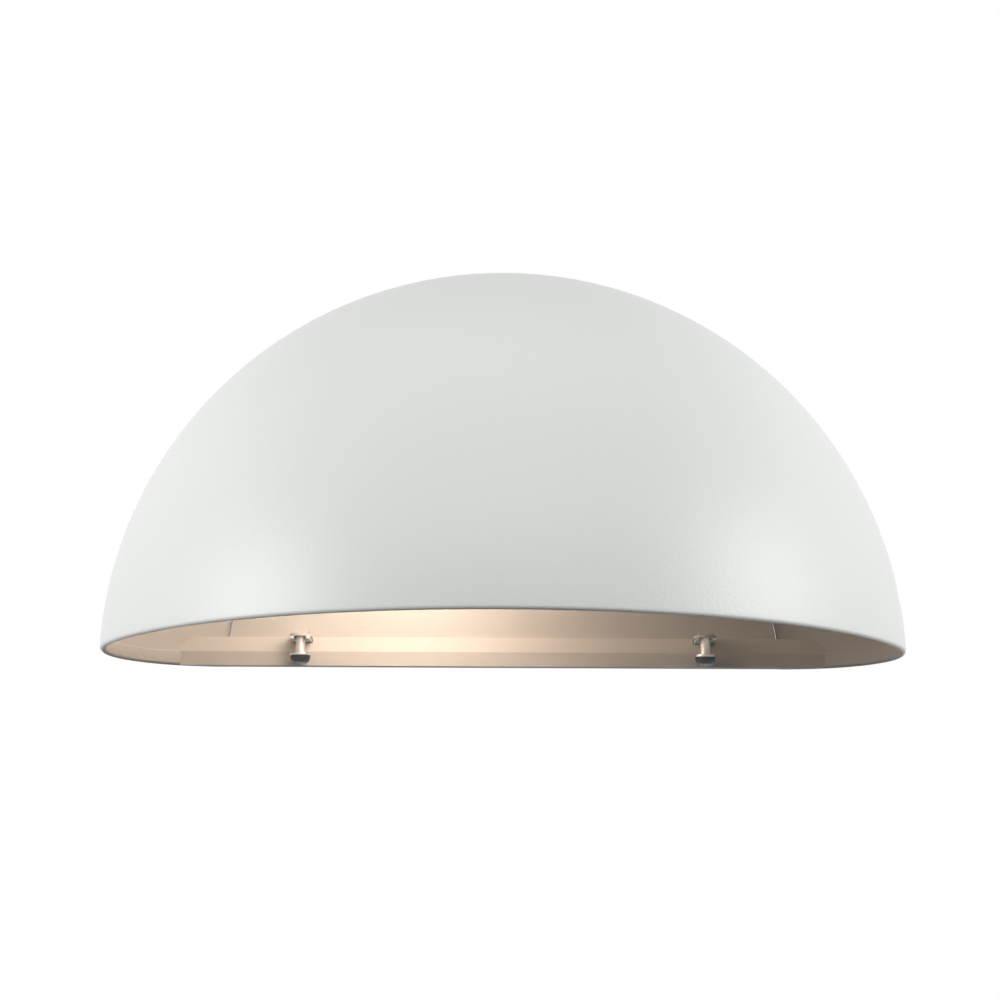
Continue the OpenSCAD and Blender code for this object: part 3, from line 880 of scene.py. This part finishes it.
@dataclass
class Shade:
    """Half-round pressed shade with its cut edge rolled in as a hem."""

    dome_r: float = 0.150
    cut_rise: float = 0.005
    depth: float = 0.165
    rear_round: float = 0.042
    side_r: float = 0.071
    sheet: float = 0.0015
    hem_h: float = 0.0055
    hem_fold: float = 0.0012
    lip_r: float = 0.0005
    rear_steps: int = 18
    side_steps: int = 12
    nose_steps: int = 60
    round_steps: int = 180
    middle_depth: float = 0.05
    soft_edge: float = 0.0002
    crease: float = 20.0

    @property
    def opening_r(self) -> float:
        """Radius of the opening at the wall."""
        return self.dome_r - self.rear_round

    @property
    def nose_r(self) -> float:
        """Radius of the nose's arc, which meets the side's arc without a corner."""
        rise = self.depth - self.rear_round
        spread = self.dome_r * self.dome_r + rise * rise - 2 * self.dome_r * self.side_r
        return spread / (2 * (rise - self.side_r))

    def station(self, step: int, inset: float, height: float) -> tuple[float, float]:
        """Place one step of the profile that ends where it meets a height above the rim.

        Args:
            step: Step from the wall, 0, to the front.
            inset: Distance inside the outer face.
            height: Height above the rim at which the profile ends in front.

        Returns:
            Radius from the dome's axis and depth from the wall.
        """
        nose_depth = self.depth - self.nose_r
        turn = math.atan2(self.rear_round - nose_depth, self.dome_r - self.side_r)
        if step <= self.rear_steps:
            a = math.pi / 2 * (step / self.rear_steps - 1)
            r = self.rear_round - inset
            return self.opening_r + r * math.cos(a), self.rear_round + r * math.sin(a)
        step -= self.rear_steps
        if step <= self.side_steps:
            a = turn * step / self.side_steps
            r = self.side_r - inset
            return self.dome_r - self.side_r + r * math.cos(a), self.rear_round + r * math.sin(a)
        step -= self.side_steps
        r = self.nose_r - inset
        share = step / self.nose_steps
        last = math.acos((height + self.cut_rise) / r)
        a = turn + (last - turn) * (1 - (1 - share) ** 2)
        return r * math.cos(a), nose_depth + r * math.sin(a)

    def steps(self) -> int:
        """Number of steps of the profile."""
        return self.rear_steps + self.side_steps + self.nose_steps

    def skin(self, inset: float, height: float) -> list[Point]:
        """List the points of one face of the sheet above a height.

        Args:
            inset: Distance inside the outer face.
            height: Height above the rim.

        Returns:
            The points, a row for each step of the profile.
        """
        points = []
        for step in range(self.steps() + 1):
            r, d = self.station(step, inset, height)
            low = math.asin(min(1.0, (height + self.cut_rise) / r))
            for k in range(self.round_steps + 1):
                a = low + (math.pi - 2 * low) * k / self.round_steps
                points.append((r * math.cos(a), -d, RIM_Z - self.cut_rise + r * math.sin(a)))
        return points

    def hem_section(self) -> Outline:
        """Draw the hem's section, from the outer face round to the inner one.

        Returns:
            The section's points, as inset and height.
        """
        thick = self.sheet + self.hem_fold
        roll = arc((thick / 2, thick / 2), thick / 2, 180, 360, 12)
        lip = arc((thick - self.lip_r, self.hem_h - self.lip_r), self.lip_r, 0, 90, 5)
        return [*roll, *lip, (self.sheet, self.hem_h)]

    def hem(self) -> tuple[list[Point], int]:
        """List the hem's points, a row for each point of its section.

        Returns:
            The points and the number of points in a row.
        """
        points = []
        count = self.steps()
        for inset, height in self.hem_section():
            for place in range(-count, count + 1):
                r, d = self.station(count - abs(place), inset, height)
                x = math.sqrt(max(0.0, r * r - (height + self.cut_rise) ** 2))
                points.append((math.copysign(x, place), -d, RIM_Z + height))
        return points, 2 * count + 1

    def build(self) -> bpy.types.Object:
        """Build the shade as one closed mesh.

        Returns:
            The shade.
        """
        rows = self.steps() + 1
        columns = self.round_steps + 1
        thick = self.sheet + self.hem_fold
        outer = self.skin(0, thick / 2)
        inner = self.skin(self.sheet, self.hem_h)
        hem, hem_columns = self.hem()
        faces = grid_faces(rows, columns)
        faces += grid_faces(rows, columns, first=len(outer))
        start = len(outer) + len(inner)
        hem_rows = len(self.hem_section())
        faces += grid_faces(hem_rows, hem_columns, first=start)
        for k in range(columns - 1):
            faces.append((k, k + 1, len(outer) + k + 1, len(outer) + k))
        for end in (0, hem_columns - 1):
            faces.append(tuple(start + i * hem_columns + end for i in range(hem_rows)))
        return shade_smooth(add_mesh("pressed_shade", [*outer, *inner, *hem], faces), ROUND_ANGLE)

    def inner_faces(self, piece: bpy.types.Object) -> list[int]:
        """List the faces that look into the shade.

        Args:
            piece: The shade.

        Returns:
            The faces' numbers.
        """
        middle = Vector(at_height(0, self.middle_depth, 0))
        return [face.index for face in piece.data.polygons if face.normal.dot(face.center - middle) < 0]

    def dress(self, finishes: Finishes) -> None:
        """Make the shade and the pieces welded to it.

        Args:
            finishes: All finishes.
        """
        piece = dress(self.build(), finishes, "shade")
        # faces that look into the shade wear a darker copy of the coat: painted shade
        add_finish(piece, finishes.get("inside_painted_shade"), self.inner_faces(piece))
        # the rail, hanger and weld nuts wear a darker copy of the shade's white coat: painted shade
        dress_soft(("rear_rail", "top_hanger", "weld_nuts"), finishes, self.soft_edge, self.crease, "rail_painted_shade")


@dataclass
class ClampScrew:
    """Black domed screw with a zinc shank and its washer."""

    side: Side
    x: float = 0.078
    depth: float = 0.012
    head_top: float = 0.0032
    shank_len: float = 0.0095
    root_r: float = 0.0016
    crest_r: float = 0.00196
    pitch: float = 0.0007
    sunk: float = 0.00002
    fillet: float = 0.0003
    head_edge: float = 0.0002
    washer_edge: float = 0.00015

    def build(self) -> bpy.types.Object:
        """Build the screw, with a thread laid over its slimmed shank.

        Returns:
            The screw.
        """
        body = softened(f"{self.side.name.lower()}_screw", self.head_edge)
        axis_x = self.side.value * self.x
        top = RIM_Z + self.head_top
        for corner in body.data.vertices:
            if corner.co.z > top + self.fillet:
                out = Vector((corner.co.x - axis_x, corner.co.y + self.depth, 0))
                corner.co -= out * (1 - self.root_r / self.crest_r)
        skin = Thread(at_height(axis_x, self.depth, self.head_top), (0, 0, 1), self.root_r - self.sunk,
                      self.crest_r, self.pitch, self.shank_len, sides=36)
        thread = add_mesh("thread", *skin.part())
        work = bmesh.new()
        work.from_mesh(body.data)
        work.from_mesh(thread.data)
        work.to_mesh(body.data)
        work.free()
        bpy.data.objects.remove(thread)
        weigh_normals(body.data)
        return body

    def dress(self, finishes: Finishes) -> None:
        """Make the screw and its washer.

        Args:
            finishes: All finishes.
        """
        side = self.side.name.lower()
        screw = dress(self.build(), finishes, f"{side}_screw")
        top = RIM_Z + self.head_top + self.fillet / 3
        shank = [f.index for f in screw.data.polygons if f.center.z > top]
        add_finish(screw, finishes.get("shank_zinc"), shank)
        dress_soft((f"{side}_washer",), finishes, self.washer_edge)


@dataclass
class WallPlate:
    """Pressed plate with its clamping tabs, foam ring and earth point."""

    soft_edge: float = 0.0003

    def dress(self, finishes: Finishes) -> None:
        """Make the plate and what is fixed flat on it.

        Args:
            finishes: All finishes.
        """
        dress_soft(("wall_plate", "wall_gasket"), finishes, self.soft_edge)
        # the tabs wear the shade's lighter coat instead of the plate's: painted light that lifts them out of their
        # shadow
        dress_soft(("clamp_tabs",), finishes, self.soft_edge / 2, paint="shade_paint")
        dress_soft(("earth_tag", "earth_screw"), finishes, self.soft_edge / 2)


@dataclass
class CableGrommet:
    """Moulded grommet with a round nose and a lip on each side of the plate."""

    height: float = 0.038
    bore_r: float = 0.004
    flange_r: float = 0.0115
    flange_front: float = 0.0014
    groove_r: float = 0.0089
    plate_front: float = 0.0025
    lip: float = 0.0016
    nose: float = 0.0055
    clear: float = 0.0001
    flange_round: float = 0.0004
    lip_round: float = 0.0006
    nose_round: float = 0.0007

    def build(self) -> bpy.types.Object:
        """Build the grommet.

        Returns:
            The grommet.
        """
        gap, front = self.clear, self.plate_front
        rim_r = self.flange_r - self.flange_round
        lip_r = self.groove_r + self.lip - self.lip_round
        nose_r = self.bore_r + self.nose_round + gap
        outline = [(self.bore_r, 3 * gap), (self.bore_r + 2 * gap, gap), (rim_r, gap)]
        outline += arc((rim_r, self.flange_round + gap), self.flange_round, -90, 0, 4)
        outline += arc((rim_r, self.flange_front - self.flange_round), self.flange_round, 0, 90, 4)
        outline += [(self.groove_r, self.flange_front), (self.groove_r, front + gap)]
        outline += arc((lip_r, front + self.lip_round + gap), self.lip_round, -90, 60, 6)
        outline += arc((nose_r, front + self.nose - self.nose_round), self.nose_round, 40, 180, 6)
        return shade_smooth(add_mesh("moulded_grommet", *turned(outline, at_height(0, 0, self.height), (0, -1, 0))))

    def dress(self, finishes: Finishes) -> None:
        """Make the grommet."""
        dress(self.build(), finishes, "cable_grommet")


@dataclass
class LampHolder:
    """Ceramic lamp holder on its bracket, with a threaded shell and two terminals."""

    lamp_depth: float = 0.066
    lamp_h: float = 0.050
    shell_back: float = 0.0421
    shell_r: float = 0.0133
    shell_t: float = 0.0006
    shell_len: float = 0.0235
    floor_r: float = 0.007
    groove: float = 0.0003
    lip: float = 0.0002
    ceramic_edge: float = 0.0005
    bracket_edge: float = 0.0003
    metal_edge: float = 0.00012

    def shell(self) -> bpy.types.Object:
        """Build the threaded shell.

        Returns:
            The shell.
        """
        base = at_height(self.shell_back, self.lamp_depth, self.lamp_h)
        axis = (-1, 0, 0)
        outer_r = self.shell_r + self.shell_t
        floor = turned([(self.floor_r, 0), (outer_r - self.groove, 0), (outer_r - self.groove, self.shell_t),
                        (self.floor_r, self.shell_t)], base, axis)
        inner = lamp_thread(base, axis, self.shell_r + self.groove, self.shell_r, self.shell_len)
        outer = lamp_thread(base, axis, outer_r, outer_r - self.groove, self.shell_len)
        mouth = self.shell_len
        lip = turned([(self.shell_r + self.groove, mouth - self.lip), (self.shell_r + self.groove, mouth),
                      (outer_r, mouth), (outer_r, mouth - self.lip)], base, axis)
        return shade_smooth(add_mesh("threaded_shell", *merged(floor, inner, outer, lip)), ROUND_ANGLE)

    def dress(self, finishes: Finishes) -> None:
        """Make the holder, its bracket and what they carry.

        Args:
            finishes: All finishes.
        """
        dress(self.shell(), finishes, "holder_shell")
        dress_soft(("holder_body",), finishes, self.ceramic_edge)
        dress_soft(("holder_bracket",), finishes, self.bracket_edge)
        metal = ("bracket_rivets", "holder_contact", "holder_terminals", "holder_screws")
        dress_soft(metal, finishes, self.metal_edge)


@dataclass
class TerminalBlock:
    """Three-pole terminal block with its sleeves and screws."""

    soft_edge: float = 0.0003

    def dress(self, finishes: Finishes) -> None:
        """Make the block."""
        dress_soft(("terminal_block",), finishes, self.soft_edge)
        dress_soft(("terminal_sleeves", "terminal_screws", "block_screw"), finishes, self.soft_edge / 3)


@dataclass
class Wire:
    """Sleeved wire along the CAD wire's path, bare at its ends."""

    node: str
    corners: Sequence[Point]
    steps: int = 10
    r: float = 0.0011
    core_r: float = 0.0007
    core_sides: int = 12
    core_reach: float = 1.02
    bare: float = 0.0035

    def dress(self, finishes: Finishes) -> None:
        """Make the wire.

        Args:
            finishes: All finishes.
        """
        path = smooth_path(self.corners, self.steps)
        skin = swept(self.sleeve(path), self.r)
        core = swept(path, self.core_r, self.core_sides)
        piece = dress(shade_smooth(add_mesh(f"sleeved_{self.node}", *merged(skin, core)), TUBE_ANGLE), finishes,
                      self.node)
        limit = self.core_r * self.core_reach
        copper = [f.index for f in piece.data.polygons if self.off_path(f.center, path) < limit]
        add_finish(piece, finishes.get("copper"), copper)

    def sleeve(self, path: list[Vector]) -> list[Vector]:
        """Return the part of the path that the sleeve covers."""
        return [q for q in path if min((q - path[0]).length, (q - path[-1]).length) > self.bare]

    @staticmethod
    def off_path(place: Vector, path: list[Vector]) -> float:
        """Measure how far a place is from a path.

        Args:
            place: The place.
            path: Points of the path.

        Returns:
            The distance from the path's nearest stretch.
        """
        best = 1.0
        for a, b in zip(path, path[1:]):
            run = b - a
            share = min(max((place - a).dot(run) / run.length_squared, 0.0), 1.0)
            best = min(best, (a + run * share - place).length)
        return best


@dataclass
class Wiring:
    """The three wires of the light."""

    block_x: float = -0.027
    block_z: float = 0.0826
    block_h: float = 0.015
    pole_pitch: float = 0.026 / 3
    sleeve_depth: float = 0.008
    entry: float = 0.003
    lamp_h: float = 0.050
    term_x: float = 0.0505
    term_step: float = 0.0095
    wire_end: float = 0.0515
    bend: float = 0.012
    lift: float = 0.0015
    sink: float = 0.001
    drift: float = 0.001
    turn_out: float = 0.009
    climb: float = 0.7
    earth: tuple[float, float] = (-0.052, 0.0646)
    earth_depth: float = 0.0045
    earth_leaves: tuple[Point, ...] = ((0, 0, 0), (0, 0, -0.006), (-0.002, -0.001, -0.010))
    earth_arrives: tuple[Point, ...] = ((0.009, 0.0002, 0.002), (0.0064, 0, 0))

    def pole_end(self, pole: int) -> tuple[float, float]:
        """Return the place and height at which a wire ends in a pole of the block."""
        return self.block_x + pole * self.pole_pitch, self.block_z - self.block_h / 2 + self.entry

    def lamp_wire(self, pole: int, run_z: float, side: int) -> list[Point]:
        """List the points of a wire from the block to the holder.

        Args:
            pole: Pole of the block, −1 to 1.
            run_z: Height of the level run.
            side: Upper, 1, or lower, −1, terminal.

        Returns:
            The points.
        """
        x0, z0 = self.pole_end(pole)
        x1, z1 = self.term_x, self.lamp_h + side * self.term_step
        d = self.sleeve_depth
        places = [
            (x0, d, z0), (x0, d, z0 - self.bend / 2), (x0 + self.drift, d, (z0 + run_z) / 2),
            (x0 + self.turn_out, d - self.sink, run_z), (0, d - self.sink, run_z), (x1 - 2 * self.bend, d, run_z),
            (x1 - self.bend, d + self.lift, run_z), (x1 - self.lift, d + self.bend * self.climb, z1),
            (x1, self.wire_end - self.bend, z1), (x1, self.wire_end, z1),
        ]
        return [at_height(*place) for place in places]

    def earth_wire(self) -> list[Point]:
        """List the points of the wire from the block to the earth point.

        Returns:
            The points.
        """
        x0, z0 = self.pole_end(-1)
        x1, z1 = self.earth
        places = [(x0 + dx, self.sleeve_depth + dd, z0 + dz) for dx, dd, dz in self.earth_leaves]
        places += [(x1 + dx, self.earth_depth + dd, z1 + dz) for dx, dd, dz in self.earth_arrives]
        return [at_height(*place) for place in places]

    def dress(self, finishes: Finishes) -> None:
        """Make the wires.

        Args:
            finishes: All finishes.
        """
        Wire("live_wire", self.lamp_wire(1, self.lamp_h + 0.006, 1)).dress(finishes)
        Wire("neutral_wire", self.lamp_wire(0, self.lamp_h - 0.001, -1)).dress(finishes)
        Wire("earth_wire", self.earth_wire(), bare=0.002).dress(finishes)


@dataclass
class Bulb:
    """Opal bulb with a threaded cap."""

    lamp_depth: float = 0.066
    lamp_h: float = 0.050
    tip_x: float = 0.0405
    length: float = 0.105
    globe_r: float = 0.030
    waist_r: float = 0.040
    neck_r: float = 0.0145
    cap_r: float = 0.013
    cap_len: float = 0.027
    cap_back: float = 0.005
    cap_t: float = 0.0004
    cap_groove: float = 0.0005
    shoulder_h: float = 0.0014
    insulator_r: float = 0.0096
    plain_len: float = 0.0085
    collar_h: float = 0.0021
    stem: float = 0.006
    stem_gap: float = 0.0008
    stem_lip: float = 0.0002
    roll_r: float = 0.0013
    roll_h: float = 0.0014
    sides: int = 128
    crease: float = 40.0
    insulator_edge: float = 0.0003
    contact_edge: float = 0.0002

    def base(self) -> Point:
        """Return the place of the bulb's centre contact."""
        return at_height(self.tip_x, self.lamp_depth, self.lamp_h)

    def glass(self) -> bpy.types.Object:
        """Build the smooth glass.

        Returns:
            The glass.
        """
        centre = self.length - self.globe_r
        run = math.sqrt((self.globe_r + self.waist_r) ** 2 - (self.neck_r + self.waist_r) ** 2)
        turn = math.degrees(math.atan2(self.neck_r + self.waist_r, run))
        stem_r = self.cap_r - self.stem_gap
        rim = self.cap_len
        outline = [(0, rim - self.stem), (stem_r, rim - self.stem), (stem_r, rim + self.stem_lip)]
        outline += arc((self.cap_r, rim + self.roll_h), self.roll_r, -80, 0, 4)
        outline += arc((self.neck_r + self.waist_r, centre - run), self.waist_r, 180, 90 + turn, 24)[1:]
        outline += arc((0, centre), self.globe_r, turn - 90, 90, 56)[1:]
        glass = turned(outline, self.base(), (-1, 0, 0), self.sides)
        return shade_smooth(add_mesh("opal_glass", *glass), self.crease)

    def cap(self) -> bpy.types.Object:
        """Build the threaded cap.

        Returns:
            The cap.
        """
        axis = (-1, 0, 0)
        start = Vector(self.base()) + Vector(axis) * (self.cap_back + self.shoulder_h)
        r = self.cap_r
        inset = self.cap_groove
        threaded = lamp_thread(tuple(start), axis, r - inset, r, self.cap_len - self.plain_len)
        back = self.cap_back
        shoulder = turned([(self.insulator_r, back), (r - 0.0016, back), (r - 0.0009, back + 0.0004),
                           (r - inset, back + self.shoulder_h), (r - inset - self.cap_t, back + 0.0016),
                           (r - 0.0018, back + 0.0008), (self.insulator_r, back + 0.0004)], self.base(), axis)
        last = self.cap_len
        collar = turned([(r - inset, last - self.collar_h), (r, last - 0.0017), (r, last - 0.0003), (r - 0.0002, last),
                         (r - self.cap_t, last), (r - inset - self.cap_t, last - self.collar_h)], self.base(), axis)
        return shade_smooth(add_mesh("threaded_cap", *merged(shoulder, threaded, collar)), ROUND_ANGLE)

    def dress(self, finishes: Finishes) -> None:
        """Make the bulb.

        Args:
            finishes: All finishes.
        """
        dress(self.glass(), finishes, "bulb_glass")
        dress(self.cap(), finishes, "bulb_cap")
        dress_soft(("bulb_insulator",), finishes, self.insulator_edge)
        dress_soft(("bulb_contact",), finishes, self.contact_edge)


# Camera and lights


@dataclass(frozen=True)
class Softbox:
    """Rectangular lamp that faces the light's middle."""

    name: str
    place: Point
    size: tuple[float, float]
    power: float
    aim: Point = (0.0, -0.07, 0.02)

    def build(self) -> None:
        """Add the lamp."""
        data = bpy.data.lights.new(self.name, "AREA")
        data.shape = "RECTANGLE"
        data.size, data.size_y = self.size
        data.energy = self.power
        lamp = bpy.data.objects.new(self.name, data)
        way = Vector(self.aim) - Vector(self.place)
        lamp.rotation_euler = way.to_track_quat("-Z", "Y").to_euler()
        lamp.location = self.place
        bpy.context.scene.collection.objects.link(lamp)


@dataclass
class Studio:
    """Camera, soft lamps and white world."""

    camera_place: Point = (0.0, -1.0, RIM_Z - 0.119)
    camera_yaw: float = 0.079
    camera_pitch: float = 10.524
    camera_roll: float = 0.29
    lens: float = 92.86
    sensor: float = 36.0
    dim_world: Colour = (0.055, 0.056, 0.055)
    white: Colour = (1.0, 1.0, 1.0)
    softboxes: tuple[Softbox, ...] = (
        Softbox("left_softbox", (-1.6, -0.75, 0.3), (0.9, 0.8), 23.5),
        Softbox("right_softbox", (1.5, -0.55, 0.4), (0.9, 0.8), 19.5),
        Softbox("front_softbox", (0.0, -2.4, 1.5), (2.6, 1.4), 17.0),
        Softbox("top_softbox", (0.0, -0.2, 1.5), (1.4, 1.0), 2.5),
    )

    def add_camera(self) -> None:
        """Add the camera at the photograph's place."""
        data = bpy.data.cameras.new("camera")
        data.sensor_width = self.sensor
        data.lens = self.lens
        camera = bpy.data.objects.new("camera", data)
        turn = Matrix.Rotation(math.radians(self.camera_yaw), 4, "Z")
        tilt = Matrix.Rotation(math.radians(90 + self.camera_pitch), 4, "X")
        roll = Matrix.Rotation(math.radians(self.camera_roll), 4, "Z")
        camera.matrix_world = Matrix.Translation(self.camera_place) @ turn @ tilt @ roll
        bpy.context.scene.collection.objects.link(camera)
        bpy.context.scene.camera = camera

    def add_world(self) -> None:
        """Add a world that is white to the camera and to mirrors, and dim as a light."""
        world = bpy.data.worlds.new("studio")
        world.use_nodes = True
        bpy.context.scene.world = world
        net = Net(world.node_tree)
        path = net.add("ShaderNodeLightPath")
        seen = path.outputs["Is Camera Ray"]
        for ray in ("Is Glossy Ray", "Is Transmission Ray"):
            seen = net.combine("MAXIMUM", seen, path.outputs[ray])
        background = next(n for n in world.node_tree.nodes if n.type == "BACKGROUND")
        net.feed(background, Color=net.mix(seen, self.dim_world, self.white))

    def build(self) -> None:
        """Build camera, lamps and world."""
        self.add_camera()
        for softbox in self.softboxes:
            softbox.build()
        self.add_world()
        bpy.context.scene.view_settings.view_transform = "Standard"


def main() -> None:
    """Build the studio and every sub-assembly in order."""
    logging.basicConfig(level=logging.INFO, format="%(message)s")
    finishes = Finishes()
    Studio().build()
    Shade().dress(finishes)
    for side in Side:
        ClampScrew(side).dress(finishes)
    WallPlate().dress(finishes)
    CableGrommet().dress(finishes)
    LampHolder().dress(finishes)
    TerminalBlock().dress(finishes)
    Wiring().dress(finishes)
    Bulb().dress(finishes)


if __name__ == "__main__":
    main()
